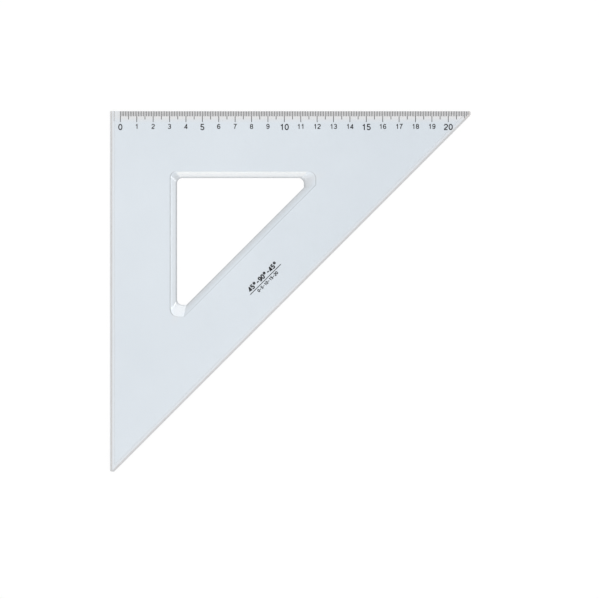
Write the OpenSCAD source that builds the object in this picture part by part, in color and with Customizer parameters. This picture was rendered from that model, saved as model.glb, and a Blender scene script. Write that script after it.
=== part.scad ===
// Drafting triangle: a clear 45 degree set square that lies flat, with its square corner at -X +Y.
// One leg carries a centimetre scale on a bevel, the other two sides are stepped so that ink does not
// creep under them, and a bevelled finger window lifts the plate. Sizes are in millimetres.

/* [Plate] */
// Length of each leg, from the square corner to the blunt tip
leg_l = 220; // [180:1:320]
// Thickness of the moulded plate
plate_t = 2.5; // [2:0.1:4]
// Length of the flat that blunts each sharp tip
tip_flat = 2.5; // [2:0.1:6]
// Rounding of the blunt tips' corners
tip_r = 1.1; // [0.2:0.1:1.4]
// Rounding of the square corner
square_corner_r = 0.4; // [0.2:0.1:2]

/* [Scale edge] */
// Width of the bevel that carries the scale
bevel_w = 7; // [7:0.1:10]
// Thickness left at the scale edge
edge_t = 0.9; // [0.7:0.1:1.6]
// Full-thickness land left between the bevel and the plain leg
land_w = 2.5; // [1:0.1:5]

/* [Ink edges] */
// Width of the step under the plain leg and the long side
step_w = 2.8; // [1:0.1:5]
// Height of that step over the paper
step_h = 0.3; // [0.2:0.1:0.6]

/* [Finger window] */
// Band of plate from each side to the opening
band_w = 40.8; // [30:0.1:45]
// Width of the bevel round the opening
lip_w = 4.1; // [2:0.1:8]
// Thickness of the lip at the opening
lip_t = 0.6; // [0.3:0.1:1.5]
// Length cut off each sharp corner of the opening, square to the leg
opening_cut = 5.8; // [5:0.1:9]
// Length cut off each sharp corner of the bevel's outer crease
crease_cut = 8.4; // [7:0.1:12]
// Rounding of the opening where a leg meets the cut
opening_sharp_r = 3.5; // [2:0.1:4.5]
// Rounding of the opening at its square corner
opening_square_r = 3.4; // [2:0.1:6]
// Rounding of the crease where a leg meets the cut
crease_sharp_r = 4.7; // [3:0.1:6]
// Rounding of the crease at its square corner
crease_square_r = 3.9; // [3:0.1:9]
// Rounding of the opening and of the crease where the cut meets the long side
cut_edge_r = 0.5; // [0.2:0.1:1]

/* [Printed scale] */
// Distance from the square corner to the zero mark
zero_x = 6.3; // [4:0.1:12]
// Width of a printed line
mark_w = 0.38; // [0.15:0.01:0.5]
// Thickness of the ink
ink_t = 0.05; // [0.02:0.01:0.1]
// Bare margin between the scale edge and the lines
print_margin = 0.15; // [0.05:0.05:0.3]
// Bare margin between the long side and the lines that run towards it
side_margin = 1.7; // [0.5:0.1:3]
// Shortest line that is still printed where the long side leaves little room
shortest_l = 1; // [0.8:0.1:2]
// Length of a millimetre line
millimetre_l = 3.1; // [2:0.1:4]
// Length of a half-centimetre line
half_centimetre_l = 5.1; // [4:0.1:6]
// Length of a centimetre line
centimetre_l = 6.8; // [5:0.1:6.9]

/* [Hidden] */

// Colours
plastic_colour = [0.74, 0.82, 0.88, 0.55];
ink_colour = [0.2, 0.2, 0.22];

// How far a cutter runs past the face that it cuts
over = 1;
// Straight steps in each round corner of the plate and of the window
tip_steps = 8;
window_steps = 20;
cut_edge_steps = 6;

// Half the overall size: the plate is centred on the origin
half_l = leg_l / 2;
// Length of a leg up to the sharp tip that was cut off
sharp_l = leg_l + tip_flat;
// The long side, at equal angles to both legs
long_side_angle = 45;
long_side_l = (leg_l - tip_flat) * sqrt(2);

// Slope of the scale bevel
bevel_rise = plate_t - edge_t;
bevel_slope = bevel_rise / bevel_w;
bevel_angle = atan(bevel_slope);

// The scale reads in millimetres
millimetre = 1;
half_centimetre = 5 * millimetre;
centimetre = 10 * millimetre;
// Furthest place for a line: before the blunt tip's rounding, with room for the shortest line
scale_end = min(leg_l - tip_r, sharp_l - side_margin - shortest_l);
last_mark = floor((scale_end - zero_x) / millimetre);

function unit(v) = v / norm(v);
function right_of(v) = [v[1], -v[0]];
function turned(v, angle) = [v[0] * cos(angle) - v[1] * sin(angle), v[0] * sin(angle) + v[1] * cos(angle)];

// The points of an anticlockwise convex outline whose corners are rounded, each to its own radius and
// with its own number of steps
function rounded(corners, radii, steps) = [
    for (i = [0 : len(corners) - 1])
        let (
            count = len(corners),
            here = corners[i],
            side_in = right_of(unit(here - corners[(i + count - 1) % count])),
            side_out = right_of(unit(corners[(i + 1) % count] - here)),
            centre = here - (side_in + side_out) * radii[i] / (1 + side_in * side_out),
            turn = acos(side_in * side_out)
        )
        for (k = [0 : steps[i]])
            centre + radii[i] * turned(side_in, turn * k / steps[i])
];

// Corners of the triangle that lies inset from all three sides of the plate, with its sharp corners cut off
// square to the legs: the square corner, both ends of the lower cut, then both ends of the right cut
function cut_triangle(inset, cut) =
    let (
        left = inset - half_l,
        top = half_l - inset,
        side = sharp_l - inset * (2 + sqrt(2)) - cut
    )
    [
        [left, top],
        [left, top - side],
        [left + cut, top - side],
        [left + side, top - cut],
        [left + side, top]
    ];

plate_corners = [
    [-half_l, half_l],
    [-half_l, -half_l],
    [tip_flat - half_l, -half_l],
    [half_l, half_l - tip_flat],
    [half_l, half_l]
];
plate_outline = rounded(
    plate_corners,
    [square_corner_r, tip_r, tip_r, tip_r, tip_r],
    [for (corner = plate_corners) tip_steps]
);

corner_steps = [window_steps, window_steps, cut_edge_steps, cut_edge_steps, window_steps];
opening_outline = rounded(
    cut_triangle(band_w, opening_cut),
    [opening_square_r, opening_sharp_r, cut_edge_r, cut_edge_r, opening_sharp_r],
    corner_steps
);
crease_outline = rounded(
    cut_triangle(band_w - lip_w, crease_cut),
    [crease_square_r, crease_sharp_r, cut_edge_r, cut_edge_r, crease_sharp_r],
    corner_steps
);
// The bevel carried on past the top face, so that the crease lies exactly in that face
past_crease = over / (plate_t - lip_t);
mouth_outline = [
    for (i = [0 : len(crease_outline) - 1])
        crease_outline[i] + (crease_outline[i] - opening_outline[i]) * past_crease
];

// A solid through a stack of outlines with equal point counts, from the lowest to the highest
module lofted(outlines, heights) {
    count = len(outlines[0]);
    top = len(outlines) - 1;
    polyhedron(
        points = [
            for (layer = [0 : top])
                for (p = outlines[layer])
                    [p[0], p[1], heights[layer]]
        ],
        faces = concat(
            [[for (i = [0 : count - 1]) i]],
            [
                for (layer = [0 : top - 1])
                    for (i = [0 : count - 1])
                        let (
                            next = (i + 1) % count,
                            low = layer * count,
                            high = low + count
                        )
                        [low + i, high + i, high + next, low + next]
            ],
            [[for (i = [count - 1 : -1 : 0]) top * count + i]]
        )
    );
}

// The finger window: a straight lip at the paper, then the bevel that opens towards the top face
module finger_window() {
    lofted(
        [opening_outline, opening_outline, mouth_outline],
        [-over, lip_t, plate_t + over]
    );
}

// The wedge that thins the scale edge, from the land beside the plain leg out past the tip
module scale_bevel() {
    reach = over / bevel_slope;
    translate([land_w - half_l, half_l, 0])
        rotate([90, 0, 90])
            linear_extrude(leg_l)
                polygon([
                    [reach, edge_t - over],
                    [reach, plate_t + over],
                    [-bevel_w - reach, plate_t + over]
                ]);
}

// The step under the plain leg
module leg_step() {
    translate([-half_l - over, -half_l - over, -over])
        cube([step_w + over, leg_l + 2 * over, step_h + over]);
}

// The step under the long side
module long_side_step() {
    past_tip = tip_flat + over;
    translate([half_l, half_l - tip_flat, -over])
        rotate([0, 0, long_side_angle])
            translate([-long_side_l - past_tip, -over, 0])
                cube([long_side_l + 2 * past_tip, step_w + over, step_h + over]);
}

module clear_plate() {
    color(plastic_colour)
        difference() {
            linear_extrude(plate_t)
                polygon(plate_outline);
            scale_bevel();
            leg_step();
            long_side_step();
            finger_window();
        }
}

// Longest line that stays on the bevel this far along the leg, clear of the long side
function room_for_line(along) =
    (sharp_l - along - mark_w / 2 - side_margin) / cos(bevel_angle) - print_margin;

// One printed line on the bevel, at a reading in millimetres
module printed_line(reading, line_l) {
    along = zero_x + reading;
    shown_l = min(line_l, room_for_line(along));
    translate([along - half_l, half_l, edge_t])
        rotate([-bevel_angle, 0, 0])
            translate([-mark_w / 2, -print_margin - shown_l, 0])
                cube([mark_w, shown_l, ink_t]);
}

module centimetre_marks() {
    color(ink_colour)
        for (reading = [0 : centimetre : last_mark])
            printed_line(reading, centimetre_l);
}

module half_centimetre_marks() {
    color(ink_colour)
        for (reading = [half_centimetre : centimetre : last_mark])
            printed_line(reading, half_centimetre_l);
}

module millimetre_marks() {
    color(ink_colour)
        for (reading = [millimetre : millimetre : last_mark])
            if (reading % half_centimetre != 0)
                printed_line(reading, millimetre_l);
}

clear_plate();
centimetre_marks();
half_centimetre_marks();
millimetre_marks();
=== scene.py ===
import math

import bmesh
import bpy
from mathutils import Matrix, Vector
from mathutils.geometry import delaunay_2d_cdt


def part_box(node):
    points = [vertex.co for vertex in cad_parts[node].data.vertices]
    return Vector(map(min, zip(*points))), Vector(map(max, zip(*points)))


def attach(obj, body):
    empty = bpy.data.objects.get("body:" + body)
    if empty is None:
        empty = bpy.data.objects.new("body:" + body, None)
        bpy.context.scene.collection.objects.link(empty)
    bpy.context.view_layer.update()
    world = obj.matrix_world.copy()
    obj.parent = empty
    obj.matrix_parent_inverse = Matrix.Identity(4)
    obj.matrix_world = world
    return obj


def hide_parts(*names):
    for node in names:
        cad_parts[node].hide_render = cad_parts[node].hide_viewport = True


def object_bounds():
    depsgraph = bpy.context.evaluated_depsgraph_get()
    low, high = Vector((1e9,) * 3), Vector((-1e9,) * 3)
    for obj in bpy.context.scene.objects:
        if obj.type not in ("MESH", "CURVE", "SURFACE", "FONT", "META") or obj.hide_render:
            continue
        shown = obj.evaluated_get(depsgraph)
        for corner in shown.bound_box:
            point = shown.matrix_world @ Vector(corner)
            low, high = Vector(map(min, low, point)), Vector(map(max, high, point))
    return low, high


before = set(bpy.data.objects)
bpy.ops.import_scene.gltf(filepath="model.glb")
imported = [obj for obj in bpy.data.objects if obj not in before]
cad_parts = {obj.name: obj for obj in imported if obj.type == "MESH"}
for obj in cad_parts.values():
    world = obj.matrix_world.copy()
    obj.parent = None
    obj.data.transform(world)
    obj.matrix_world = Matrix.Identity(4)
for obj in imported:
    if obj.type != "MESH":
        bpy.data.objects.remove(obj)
cad_low, cad_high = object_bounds()


# The plate is one injection moulding in clear, faintly blue styrene, polished all over. The mould rounds its
# edges, so the solid's sharp edges are softened here. The grey lines along them and the shading of the
# window's slopes are painted shade.
# The tint thins with the plastic, and flow in the mould and long use leave drifts, waves and scratches.
mm = 0.001
welded_within = 0.001 * mm
flat_within = math.radians(0.2)
near_face = 0.1 * mm
near_edge = 1 * mm
window_inset = 30 * mm

plate = bpy.data.objects.new("clear_plate_moulding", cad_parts["clear_plate"].data.copy())
bpy.context.scene.collection.objects.link(plate)
plate_low, plate_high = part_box("clear_plate")
shape = bmesh.new()
shape.from_mesh(plate.data)
bmesh.ops.remove_doubles(shape, verts=shape.verts, dist=welded_within)
bmesh.ops.dissolve_limit(shape, angle_limit=flat_within, verts=shape.verts, edges=shape.edges)
# A layer of painted shade for the window's crease, lip and slopes, set point by point.
edge_shade = shape.verts.layers.float.new("edge_shade")

long_side_offset = max(v.co.x - v.co.y for v in shape.verts)
top_corners = [v.co for v in shape.verts if v.co.z > plate_high.z - near_face]
land_end = max(corner.x for corner in top_corners if corner.y > plate_high.y - near_edge)


def at_window(point):
    from_long_side = (long_side_offset - point.x + point.y) / math.sqrt(2)
    return min(point.x - plate_low.x, plate_high.y - point.y, from_long_side) > window_inset


def middle_of(edge):
    return (edge.verts[0].co + edge.verts[1].co) / 2


# The window's slopes face its middle: the left one across, the top one down, the long one up and back,
# the one at the low corner up and the one at the right corner back.
def facing(vert):
    return vert.normal.xy.normalized()


def at_square_corner(vert):
    across, up = facing(vert)
    return (2 * max(0.0, across) * max(0.0, -up)) ** 2


# How much painted shade the crease, the lip and two rows of points on the slopes carry, by the side they
# face; 0 is none.
crease_shade_base = 0.17
upright_crease_shade = 0.55
left_crease_shade = 0.45


def crease_rub(vert):
    across = facing(vert).x
    return crease_shade_base + upright_crease_shade * across ** 2 + left_crease_shade * max(0.0, across) ** 2


lip_shade_base = 0.7
left_lip_shade = 0.15
lower_lip_relief = 0.1
low_corner_relief = 0.5
square_corner_relief = 0.25


def lip_rub(vert):
    across, up = facing(vert)
    at_low_corner = max(0.0, up + min(0.0, across))
    on_sides = lip_shade_base + left_lip_shade * max(0.0, across) ** 2 - lower_lip_relief * max(0.0, up) ** 2
    return on_sides - low_corner_relief * at_low_corner - square_corner_relief * at_square_corner(vert)


slope_shares = (0.24, 0.62)
left_slope_shade = (0.04, 0.02)
long_slope_shade = (0.34, 0.17)
square_corner_shade = (0.40, 0.25)


def slope_rub(vert, row):
    across = facing(vert).x
    on_sides = left_slope_shade[row] * max(0.0, across) + long_slope_shade[row] * max(0.0, -across)
    return on_sides + square_corner_shade[row] * at_square_corner(vert)


# The left and the top slope are crowned a little, and the crown dies away where a slope is flatter.
slope_crown = 0.04 * mm
uncrowned_facing = 0.5
uncrowned_tilt = 0.95
crown_fade = 0.04


def crown_share(vert):
    across, up = facing(vert)
    if up - across > uncrowned_facing:
        return 0.0
    return min(1.0, max(0.0, (uncrowned_tilt - vert.normal.z) / crown_fade))


hard_edge = math.radians(14)
soft_edge_steps = 5
soft_edge_profile = 0.6


# Softens the edges that where picks; a shade function, when given, paints shade on the points of the new
# strip.
def soften(where, softness, shade=None, shade_at_border=0.0, sharper_than=hard_edge):
    edges = [e for e in shape.edges if e.calc_face_angle(0.0) > sharper_than and where(middle_of(e))]
    made = bmesh.ops.bevel(
        shape, geom=edges, offset=softness, offset_type="OFFSET", segments=soft_edge_steps,
        profile=soft_edge_profile, affect="EDGES", clamp_overlap=False, miter_outer="ARC",
    )
    strip = set(made["faces"])
    for face in strip:
        face.smooth = True
    shape.normal_update()
    for vert in {v for face in strip for v in face.verts}:
        inside = all(face in strip for face in vert.link_faces)
        if shade:
            vert[edge_shade] = shade(vert) * (1.0 if inside else shade_at_border)


narrow_face = 1 * mm
level_face = math.cos(math.radians(2))
shallow_slope = math.cos(math.radians(20))
for face in shape.faces:
    narrow = min(edge.calc_length() for edge in face.edges) < narrow_face
    level = abs(face.normal.z) > level_face
    curved = not level and (narrow or face.normal.z < shallow_slope)
    face.smooth = curved and at_window(face.calc_center_median())

slope_rise = 1 * mm
slope_rows = [[] for share in slope_shares]
for edge in list(shape.edges):
    low_end, high_end = sorted(edge.verts, key=lambda v: v.co.z)
    if at_window(middle_of(edge)) and high_end.co.z - low_end.co.z > slope_rise:
        reached = 0.0
        for points, share in zip(slope_rows, slope_shares):
            low_end = bmesh.utils.edge_split(edge, low_end, (share - reached) / (1 - reached))[1]
            points.append(low_end)
            reached = share
for points in slope_rows:
    bmesh.ops.connect_verts(shape, verts=points)
shape.normal_update()
for row, share in enumerate(slope_shares):
    for vert in slope_rows[row]:
        vert[edge_shade] = slope_rub(vert, row)
        vert.co += vert.normal * slope_crown * crown_share(vert) * 4 * share * (1 - share)

hard_crease = math.radians(5)
crease_softness = 0.24 * mm
lip_softness = 0.42 * mm
side_softness = 0.15 * mm
under_softness = 0.05 * mm
crease_height = 2 * mm
lip_height = 0.3 * mm
foot_height = 0.2 * mm
shoulder_height = 0.8 * mm
soften(lambda p: at_window(p) and p.z > crease_height, crease_softness, crease_rub, sharper_than=hard_crease)
soften(lambda p: at_window(p) and lip_height < p.z < crease_height, lip_softness, lip_rub, shade_at_border=1.0)
soften(lambda p: at_window(p) and p.z < foot_height, under_softness)
soften(lambda p: not at_window(p) and p.z > shoulder_height, side_softness)
soften(lambda p: not at_window(p) and p.z < shoulder_height, under_softness)
shape.to_mesh(plate.data)
shape.free()

clear_plastic = bpy.data.materials.new("clear_styrene")
clear_plastic.use_nodes = True
nodes, links = clear_plastic.node_tree.nodes, clear_plastic.node_tree.links
place = nodes.new("ShaderNodeTexCoord").outputs["Object"]


def noise(where, scale, detail=2.0):
    texture = nodes.new("ShaderNodeTexNoise")
    texture.inputs["Scale"].default_value = scale
    texture.inputs["Detail"].default_value = detail
    links.new(where, texture.inputs["Vector"])
    return texture.outputs["Fac"]


def combine(operation, first, second):
    step = nodes.new("ShaderNodeMath")
    step.operation = operation
    for value, socket in zip((first, second), step.inputs):
        if isinstance(value, float):
            socket.default_value = value
        else:
            links.new(value, socket)
    return step.outputs["Value"]


def smooth_range(value, span, ends):
    step = nodes.new("ShaderNodeMapRange")
    step.interpolation_type = "SMOOTHSTEP"
    step.inputs["From Min"].default_value, step.inputs["From Max"].default_value = span
    step.inputs["To Min"].default_value, step.inputs["To Max"].default_value = ends
    links.new(value, step.inputs["Value"])
    return step.outputs["Result"]


def mixed_colour(first, second, share):
    mix = nodes.new("ShaderNodeMix")
    mix.data_type = "RGBA"
    links.new(share, mix.inputs["Factor"])
    for colour, socket in ((first, mix.inputs["A"]), (second, mix.inputs["B"])):
        if isinstance(colour, tuple):
            socket.default_value = (*colour, 1.0)
        else:
            links.new(colour, socket)
    return mix.outputs["Result"]


def distance_inward(inward, start):
    along_it = nodes.new("ShaderNodeVectorMath")
    along_it.operation = "DOT_PRODUCT"
    along_it.inputs[1].default_value = inward
    links.new(place, along_it.inputs[0])
    return combine("SUBTRACT", along_it.outputs["Value"], start)


half_root = math.sqrt(0.5)
plain_leg = distance_inward((1, 0, 0), plate_low.x)
scale_edge = distance_inward((0, -1, 0), -plate_high.y)
long_side = distance_inward((-half_root, half_root, 0), -long_side_offset * half_root)
low_tip = distance_inward((0, 1, 0), plate_low.y)
right_tip = distance_inward((-1, 0, 0), -plate_high.x)

# The tint drifts at random with the plastic's flow, and it is darker towards the right tip, away from the
# plain leg.
flow_scale = 14.0
deep_tint = (0.729, 0.776, 0.821)
light_tint = (0.806, 0.850, 0.890)
deepening_reach = (60 * mm, 180 * mm)
deepening_ends = (0.0, 0.5)
tint_drift_share = combine("SUBTRACT", noise(place, flow_scale), smooth_range(plain_leg, deepening_reach, deepening_ends))
drifting_tint = mixed_colour(deep_tint, light_tint, tint_drift_share)

# The plastic is thin at the scale edge, less so at the land, and a little thin over the steps and at the lip.
thin_plastic = (0.806, 0.799, 0.801)
bevel_reach = (3 * mm, 8 * mm)
bevel_ends = (1.0, 0.0)
land_reach = (2.5 * mm, 8 * mm)
land_ends = (0.5, 1.0)
step_reach = (1.5 * mm, 4 * mm)
step_ends = (0.4, 0.0)
lip_reach = (36.5 * mm, 41 * mm)
lip_ends = (0.0, 0.3)
stepped_side = combine("MINIMUM", plain_leg, long_side)
nearest_side = combine("MINIMUM", stepped_side, scale_edge)
past_land = smooth_range(plain_leg, land_reach, land_ends)
thin_at_scale = combine("MULTIPLY", smooth_range(scale_edge, bevel_reach, bevel_ends), past_land)
thin_at_step = smooth_range(stepped_side, step_reach, step_ends)
thin_at_lip = smooth_range(nearest_side, lip_reach, lip_ends)
thinness = combine("MAXIMUM", combine("MAXIMUM", thin_at_scale, thin_at_step), thin_at_lip)
thinned_tint = mixed_colour(drifting_tint, thin_plastic, thinness)

# Painted shade darkens a narrow rim along the sides and tips, and a short line at the land's end on the
# bevel.
side_shade_depth = 0.50
side_shade_colour = (0.46, 0.40, 0.36)
rim_start = (0.05 * mm, 0.5 * mm)
rim_start_ends = (0.2, 1.0)
rim_end = (0.8 * mm, 1.7 * mm)
land_corner_reach = (0.1 * mm, 0.5 * mm)
bevel_rim_end = (5.5 * mm, 6.8 * mm)
tips = combine("MINIMUM", low_tip, right_tip)
rim_distance = combine("MINIMUM", stepped_side, tips)
# The painted shade of the rim rises from the very edge and fades out within two millimetres.
side_rim_shade = combine(
    "MULTIPLY", smooth_range(rim_distance, rim_start, rim_start_ends),
    smooth_range(rim_distance, rim_end, (side_shade_depth, 0.0)),
)
from_land_end = combine("ABSOLUTE", combine("SUBTRACT", plain_leg, land_end - plate_low.x), 0.0)
land_end_shade = combine(
    "MULTIPLY", smooth_range(from_land_end, land_corner_reach, (side_shade_depth, 0.0)),
    smooth_range(scale_edge, bevel_rim_end, (1.0, 0.0)),
)
side_shade = combine("MAXIMUM", side_rim_shade, land_end_shade)

# The painted shade is patchy, and the window's edges and slopes carry theirs on their points.
window_shade_colour = (0.14, 0.145, 0.155)
shade_grain_scale = 900.0
shade_grain_span = (0.3, 0.7)
shade_grain_ends = (0.75, 1.0)
window_shade = nodes.new("ShaderNodeAttribute")
window_shade.attribute_name = "edge_shade"
shade_patches = smooth_range(noise(place, shade_grain_scale), shade_grain_span, shade_grain_ends)
side_shade_share = combine("MULTIPLY", side_shade, shade_patches)
window_shade_share = combine("MULTIPLY", window_shade.outputs["Fac"], shade_patches)
side_shaded_tint = mixed_colour(thinned_tint, side_shade_colour, side_shade_share)
surface_tint = mixed_colour(side_shaded_tint, window_shade_colour, window_shade_share)

# Scratches run one way, as the plate slides, and dull the polish, which is dulled too where painted shade
# lies.
scratch_turn = math.radians(28)
scratch_stretch = (12.0, 900.0, 12.0)
scratch_detail = 3.0
scratch_span = (0.62, 0.75)
scratch_roughness = (0.03, 0.12)
edge_roughness = 0.3
scratch_lie = nodes.new("ShaderNodeMapping")
scratch_lie.inputs["Rotation"].default_value = (0.0, 0.0, scratch_turn)
scratch_lie.inputs["Scale"].default_value = scratch_stretch
links.new(place, scratch_lie.inputs["Vector"])
scratches = noise(scratch_lie.outputs["Vector"], 1.0, scratch_detail)
scratch_dullness = smooth_range(scratches, scratch_span, scratch_roughness)
edge_dullness = combine("MULTIPLY", combine("MAXIMUM", side_shade_share, window_shade_share), edge_roughness)

ripple_scale = 40.0
ripple_detail = 1.0
ripple_strength = 0.15
ripple_height = 0.2 * mm
waviness = nodes.new("ShaderNodeBump")
waviness.inputs["Strength"].default_value = ripple_strength
waviness.inputs["Distance"].default_value = ripple_height
links.new(noise(place, ripple_scale, ripple_detail), waviness.inputs["Height"])

plastic_ior = 1.5
body_colour = (0.15, 0.50, 0.80, 1.0)
body_density = 15.0
surface = nodes["Principled BSDF"]
surface.inputs["IOR"].default_value = plastic_ior
surface.inputs["Transmission Weight"].default_value = 1.0
links.new(surface_tint, surface.inputs["Base Color"])
links.new(combine("ADD", scratch_dullness, edge_dullness), surface.inputs["Roughness"])
links.new(waviness.outputs["Normal"], surface.inputs["Normal"])
body = nodes.new("ShaderNodeVolumeAbsorption")
body.inputs["Color"].default_value = body_colour
body.inputs["Density"].default_value = body_density
links.new(body.outputs["Volume"], nodes["Material Output"].inputs["Volume"])
plate.data.materials.clear()
plate.data.materials.append(clear_plastic)
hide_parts("clear_plate")
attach(plate, "root")


# The scale's lines are a dark grey ink, stamped from foil on to the bevel, so each line is a thin film with
# crisp edges. The film takes a little unevenly, which shows as a slight mottle in its colour and its sheen.
dark_ink = (0.006, 0.006, 0.008)
light_ink = (0.016, 0.017, 0.021)
mottle_scale = 1500.0
mottle_detail = 3.0
mottle_span = (0.3, 0.7)
ink_roughness = (0.55, 0.75)
ink_gloss = 0.2
ink = bpy.data.materials.new("stamped_ink")
ink.use_nodes = True
nodes, links = ink.node_tree.nodes, ink.node_tree.links
mottle = noise(nodes.new("ShaderNodeTexCoord").outputs["Object"], mottle_scale, mottle_detail)
ink_surface = nodes["Principled BSDF"]
ink_surface.inputs["Specular IOR Level"].default_value = ink_gloss
links.new(mixed_colour(dark_ink, light_ink, mottle), ink_surface.inputs["Base Color"])
links.new(smooth_range(mottle, mottle_span, ink_roughness), ink_surface.inputs["Roughness"])
for name in ("centimetre_marks", "half_centimetre_marks", "millimetre_marks"):
    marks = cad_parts[name]
    marks.data.materials.clear()
    marks.data.materials.append(ink)


# The numerals are stamped on the flat of the plate in the same ink, each centred under its centimetre line.
# They are plain strokes of one width, as a stamp cuts them, and every fifth one is larger and bolder.
film_proud = 0.008 * mm
film_sunk = 0.004 * mm
same_point = 1e-7
all_triangles = 0
digit_width = 0.60
digit_gap = 0.12
digit_stretch = 1.1
arc_steps = 24


def arc(centre, radii, start, end):
    points = []
    for step in range(arc_steps + 1):
        angle = math.radians(start + (end - start) * step / arc_steps)
        points.append((centre[0] + radii[0] * math.cos(angle), centre[1] + radii[1] * math.sin(angle)))
    return points


# The strokes of each sign, in a cell that is 0.6 wide and 1 high.
strokes_of = {
    "0": [arc((0.30, 0.50), (0.24, 0.44), 0, 360)],
    "1": [[(0.36, 0.00), (0.36, 1.00)], [(0.12, 0.74), (0.22, 0.76), (0.31, 0.84), (0.35, 0.96)]],
    "2": [
        arc((0.30, 0.70), (0.23, 0.24), 175, -25) + [(0.42, 0.47), (0.23, 0.32), (0.10, 0.17), (0.07, 0.05)],
        [(0.01, 0.06), (0.54, 0.06)],
    ],
    "3": [
        arc((0.285, 0.725), (0.205, 0.215), 165, -85),
        arc((0.285, 0.29), (0.235, 0.23), 85, -165),
        [(0.21, 0.52), (0.31, 0.52)],
    ],
    "4": [[(0.59, 0.24), (0.05, 0.24), (0.43, 0.93)], [(0.43, 0.00), (0.43, 1.00)]],
    "5": [[(0.53, 0.94), (0.14, 0.94), (0.09, 0.49)], arc((0.29, 0.315), (0.24, 0.255), 140, -160)],
    "6": [arc((0.305, 0.31), (0.225, 0.25), 0, 360), arc((0.315, 0.50), (0.245, 0.44), 35, 200)],
    "7": [[(0.04, 0.94), (0.53, 0.94), (0.40, 0.73), (0.29, 0.47), (0.23, 0.22), (0.21, 0.00)]],
    "8": [arc((0.30, 0.735), (0.195, 0.205), 0, 360), arc((0.30, 0.295), (0.23, 0.235), 0, 360)],
    "9": [arc((0.295, 0.69), (0.225, 0.25), 0, 360), arc((0.285, 0.50), (0.245, 0.44), 215, 380)],
    "°": [arc((0.28, 0.80), (0.17, 0.18), 0, 360)],
    "–": [[(0.10, 0.42), (0.50, 0.42)]],
}


def ribbon(points, width):
    path = [Vector(p) for p in points]
    normals = [(b - a).normalized().orthogonal() for a, b in zip(path, path[1:])]
    sides = [normals[0]]
    for before, after in zip(normals, normals[1:]):
        sides.append((before + after) / (1 + before.dot(after)))
    sides.append(normals[-1])
    half = width / 2
    quads = []
    for k in range(len(path) - 1):
        quads.append([
            path[k] - sides[k] * half, path[k + 1] - sides[k + 1] * half,
            path[k + 1] + sides[k + 1] * half, path[k] + sides[k] * half,
        ])
    return quads


def line_of_digits(text, centre, height, weight, along=Vector((1, 0))):
    up = along.orthogonal()
    advance = digit_width * digit_stretch + digit_gap
    length = advance * len(text) - digit_gap
    start = Vector(centre) - along * height * length / 2 - up * height / 2
    quads = []
    for place_in_line, sign in enumerate(text):
        for stroke in strokes_of[sign]:
            stretched = [(x * digit_stretch, y) for x, y in stroke]
            for quad in ribbon(stretched, weight / height):
                quads.append([
                    start + along * height * (corner.x + advance * place_in_line) + up * height * corner.y
                    for corner in quad
                ])
    return quads


def print_on_plate(name, quads):
    corners = [corner for quad in quads for corner in quad]
    faces = [tuple(range(4 * k, 4 * k + 4)) for k in range(len(quads))]
    flat_points, _, all_faces, _, _, origins = delaunay_2d_cdt(corners, [], faces, all_triangles, same_point)
    flat_faces = [face for face, origin in zip(all_faces, origins) if origin]
    low, high = cad_high.z - film_sunk, cad_high.z + film_proud
    film = bmesh.new()
    bottom = [film.verts.new((p.x, p.y, low)) for p in flat_points]
    top = [film.verts.new((p.x, p.y, high)) for p in flat_points]
    borders = {}
    for face in flat_faces:
        film.faces.new([top[i] for i in face])
        film.faces.new([bottom[i] for i in reversed(face)])
        for a, b in zip(face, face[1:] + face[:1]):
            borders[(a, b)] = (b, a) not in borders
            if (b, a) in borders:
                borders[(b, a)] = False
    for (a, b), outer in borders.items():
        if outer:
            film.faces.new([bottom[a], bottom[b], top[b], top[a]])
    loose = [v for v in film.verts if not v.link_faces]
    bmesh.ops.delete(film, geom=loose, context="VERTS")
    mesh = bpy.data.meshes.new(name)
    film.to_mesh(mesh)
    film.free()
    mesh.materials.append(ink)
    printed = bpy.data.objects.new(name, mesh)
    bpy.context.scene.collection.objects.link(printed)
    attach(printed, "root")


last_numeral = 20
bold_every = 5
bold_height, bold_weight = 3.7 * mm, 0.64 * mm
plain_height, plain_weight = 3.0 * mm, 0.51 * mm
numeral_drop = 7.9 * mm
numeral_top = cad_high.y - numeral_drop
centimetre = 10 * mm
marks_low, marks_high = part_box("centimetre_marks")
marks_length = (marks_high.x - marks_low.x) // centimetre * centimetre
zero_mark_x = (marks_low.x + marks_high.x - marks_length) / 2
numeral_quads = []
for reading in range(last_numeral + 1):
    bold = reading % bold_every == 0
    height, weight = (bold_height, bold_weight) if bold else (plain_height, plain_weight)
    centre = (zero_mark_x + reading * centimetre, numeral_top - height / 2)
    numeral_quads += line_of_digits(str(reading), centre, height, weight)
print_on_plate("scale_numerals", numeral_quads)


# The caption is a short rule with the plate's angles over it and the scale's reach under it. It is a film of
# the same ink, stamped on the flat beside the long side and in line with it.
rule_centre = Vector((-15.15, 7.29)) * mm
rule_along = Vector((1, 1)).normalized()
rule_up = rule_along.orthogonal()
rule_length, rule_weight = 26.4 * mm, 0.45 * mm
rule_half = rule_along * rule_length / 2
angles_height, angles_weight, angles_rise = 2.8 * mm, 0.76 * mm, 2.5 * mm
angles_centre = rule_centre + rule_up * angles_rise
reach_height, reach_weight, reach_drop = 1.8 * mm, 0.48 * mm, 1.9 * mm
reach_centre = rule_centre - rule_up * reach_drop
caption_quads = ribbon([rule_centre - rule_half, rule_centre + rule_half], rule_weight)
caption_quads += line_of_digits("45°–90°–45°", angles_centre, angles_height, angles_weight, rule_along)
caption_quads += line_of_digits("0–5–10–15–20", reach_centre, reach_height, reach_weight, rule_along)
print_on_plate("angle_caption", caption_quads)


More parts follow.
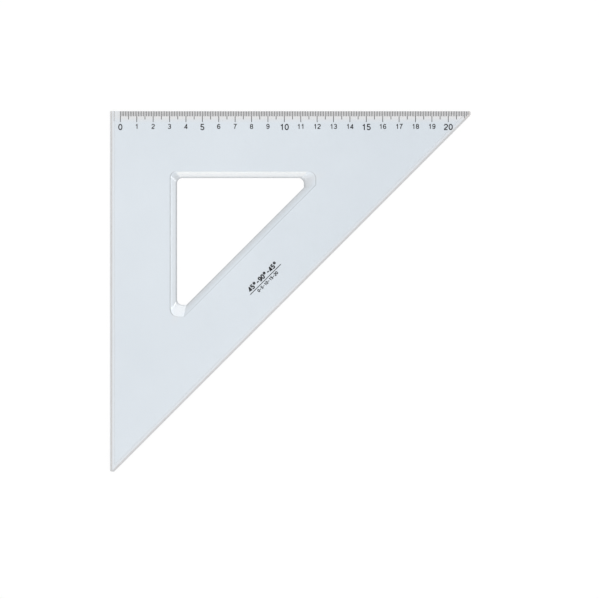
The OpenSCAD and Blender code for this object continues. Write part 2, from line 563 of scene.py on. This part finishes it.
# The floor is a sheet of matt white board that fills every view. Most of what is seen of it, straight,
# mirrored or through the plate, is a glow of its own that keeps it white, and the rest takes the shadow.
floor_half = 20.0
floor_gap = 0.05 * mm
floor_corners = ((-1, -1), (1, -1), (1, 1), (-1, 1))
board_colour = (0.97, 0.97, 0.97, 1.0)
glow_strength = 1.012
glow_share = 0.9
floor_mesh = bpy.data.meshes.new("white_board")
floor_points = [(x * floor_half, y * floor_half, -floor_gap) for x, y in floor_corners]
floor_mesh.from_pydata(floor_points, [], [(0, 1, 2, 3)])
floor = bpy.data.objects.new("white_board", floor_mesh)
bpy.context.scene.collection.objects.link(floor)
board = bpy.data.materials.new("white_board")
board.use_nodes = True
nodes, links = board.node_tree.nodes, board.node_tree.links
board_surface = nodes["Principled BSDF"]
board_surface.inputs["Base Color"].default_value = board_colour
board_surface.inputs["Roughness"].default_value = 1.0
board_surface.inputs["Specular IOR Level"].default_value = 0.0
board_glow = nodes.new("ShaderNodeEmission")
board_glow.inputs["Strength"].default_value = glow_strength
ray = nodes.new("ShaderNodeLightPath")
seen_or_mirrored = combine("MAXIMUM", ray.outputs["Is Camera Ray"], ray.outputs["Is Glossy Ray"])
seen_at_all = combine("MAXIMUM", seen_or_mirrored, ray.outputs["Is Transmission Ray"])
board_mix = nodes.new("ShaderNodeMixShader")
links.new(combine("MULTIPLY", seen_at_all, glow_share), board_mix.inputs["Fac"])
links.new(board_surface.outputs["BSDF"], board_mix.inputs[1])
links.new(board_glow.outputs["Emission"], board_mix.inputs[2])
links.new(board_mix.outputs["Shader"], nodes["Material Output"].inputs["Surface"])
floor_mesh.materials.append(board)


# The light is a studio tent of white cloth, bright overhead and low down and grey between. A warm bank stands
# in front with a dimmer wing at its left, another stands at the right and a strip lamp hangs at the rear. The
# window's slopes mirror them, which sets their tone. A span says where a cloth or a bank fades in or out.
grey_brightness = 0.22
top_brightness = 1.05
top_span = (0.62, 0.95)
low_brightness = 0.75
low_span = (0.35, 0.5)
bank_foot_span = (0.25, 0.5)
front_brightness = 4.4
front_colour = (1.06, 0.91, 0.69)
front_left_span = (-0.32, -0.16)
front_right_span = (0.1, 0.26)
front_top_span = (-0.73, -0.6)
front_foot_span = (-0.79, -0.72)
front_foot_share = 0.3
wing_brightness = 1.3
wing_left_span = (-0.62, -0.4)
wing_right_span = (0.22, 0.48)
wing_top_span = (-0.5, -0.38)
wing_lean = 0.6
right_brightness = 5.4
right_front_span = (-0.3, -0.14)
right_rear_span = (0.14, 0.3)
right_top_span = (0.52, 0.62)
right_foot_span = (0.62, 0.78)

world = bpy.data.worlds.new("studio_tent")
bpy.context.scene.world = world
world.use_nodes = True
nodes, links = world.node_tree.nodes, world.node_tree.links
direction = nodes.new("ShaderNodeSeparateXYZ")
links.new(nodes.new("ShaderNodeTexCoord").outputs["Generated"], direction.inputs["Vector"])
to_right, to_rear, upward = direction.outputs


def between(value, rising_span, falling_span):
    rising = smooth_range(value, rising_span, (0.0, 1.0))
    return combine("MULTIPLY", rising, smooth_range(value, falling_span, (1.0, 0.0)))


front_foot = smooth_range(to_rear, front_foot_span, (front_foot_share, 1.0))
front_height = combine("MULTIPLY", front_foot, smooth_range(to_rear, front_top_span, (1.0, 0.0)))
front_share = combine("MULTIPLY", front_height, between(to_right, front_left_span, front_right_span))
front_bank = combine("MULTIPLY", front_share, front_brightness)
wing_height = combine("ADD", to_rear, combine("MULTIPLY", to_right, wing_lean))
wing_share = smooth_range(wing_height, wing_top_span, (wing_brightness, 0.0))
front_wing = combine("MULTIPLY", wing_share, between(to_right, wing_left_span, wing_right_span))
right_height = between(to_right, right_top_span, right_foot_span)
right_share = combine("MULTIPLY", right_height, between(to_rear, right_front_span, right_rear_span))
right_bank = combine("MULTIPLY", right_share, right_brightness)
above_foot = smooth_range(upward, bank_foot_span, (0.0, 1.0))
banks = combine("MAXIMUM", combine("MAXIMUM", front_bank, front_wing), right_bank)
top_cloth = smooth_range(upward, top_span, (grey_brightness, top_brightness))
low_cloth = smooth_range(upward, low_span, (low_brightness, 0.0))
cloth = combine("ADD", top_cloth, low_cloth)
tent = nodes["Background"]
links.new(combine("ADD", cloth, combine("MULTIPLY", banks, above_foot)), tent.inputs["Strength"])
tent_colour = mixed_colour((1.0, 1.0, 1.0), front_colour, combine("MULTIPLY", front_share, above_foot))
links.new(tent_colour, tent.inputs["Color"])

# A lamp of one unit of brightness takes four watts for each square metre.
watts_per_area = 4
strip_length, strip_width = 1.06, 0.09
strip_brightness = 2.6
strip_data = bpy.data.lights.new("strip_lamp", "AREA")
strip_data.shape = "RECTANGLE"
strip_data.size, strip_data.size_y = strip_length, strip_width
strip_data.energy = watts_per_area * strip_brightness * strip_length * strip_width
strip_lamp = bpy.data.objects.new("strip_lamp", strip_data)
strip_lamp.location = (0.3375, 0.325, 1.0)
strip_lamp.rotation_euler.z = math.radians(-29.5)
strip_lamp.visible_camera = False
bpy.context.scene.collection.objects.link(strip_lamp)


# The camera looks straight down on the plate through a long lens, as the photograph does, so only a trace of
# perspective shows. Its place comes from the photograph's own scale and from where the plate lies in it.
pixels_per_mm = 1.64
frame_pixels = 599
centre_pixel = (290.4, 291.4)
lens_mm = 240.0
sensor_mm = 36.0
frame_width = frame_pixels / pixels_per_mm * mm
camera_data = bpy.data.cameras.new("camera")
camera_data.lens = lens_mm
camera_data.sensor_width = sensor_mm
camera = bpy.data.objects.new("camera", camera_data)
camera.location = (
    (frame_pixels / 2 - centre_pixel[0]) / pixels_per_mm * mm,
    -(frame_pixels / 2 - centre_pixel[1]) / pixels_per_mm * mm,
    cad_high.z + frame_width * lens_mm / sensor_mm,
)
bpy.context.scene.collection.objects.link(camera)
bpy.context.scene.camera = camera
bpy.context.scene.view_settings.view_transform = "Standard"

# Light that enters a clear plate is mirrored between its faces many times before it leaves by an edge.
light_bounces = 40
bpy.context.scene.cycles.max_bounces = light_bounces
bpy.context.scene.cycles.glossy_bounces = light_bounces
bpy.context.scene.cycles.transmission_bounces = light_bounces
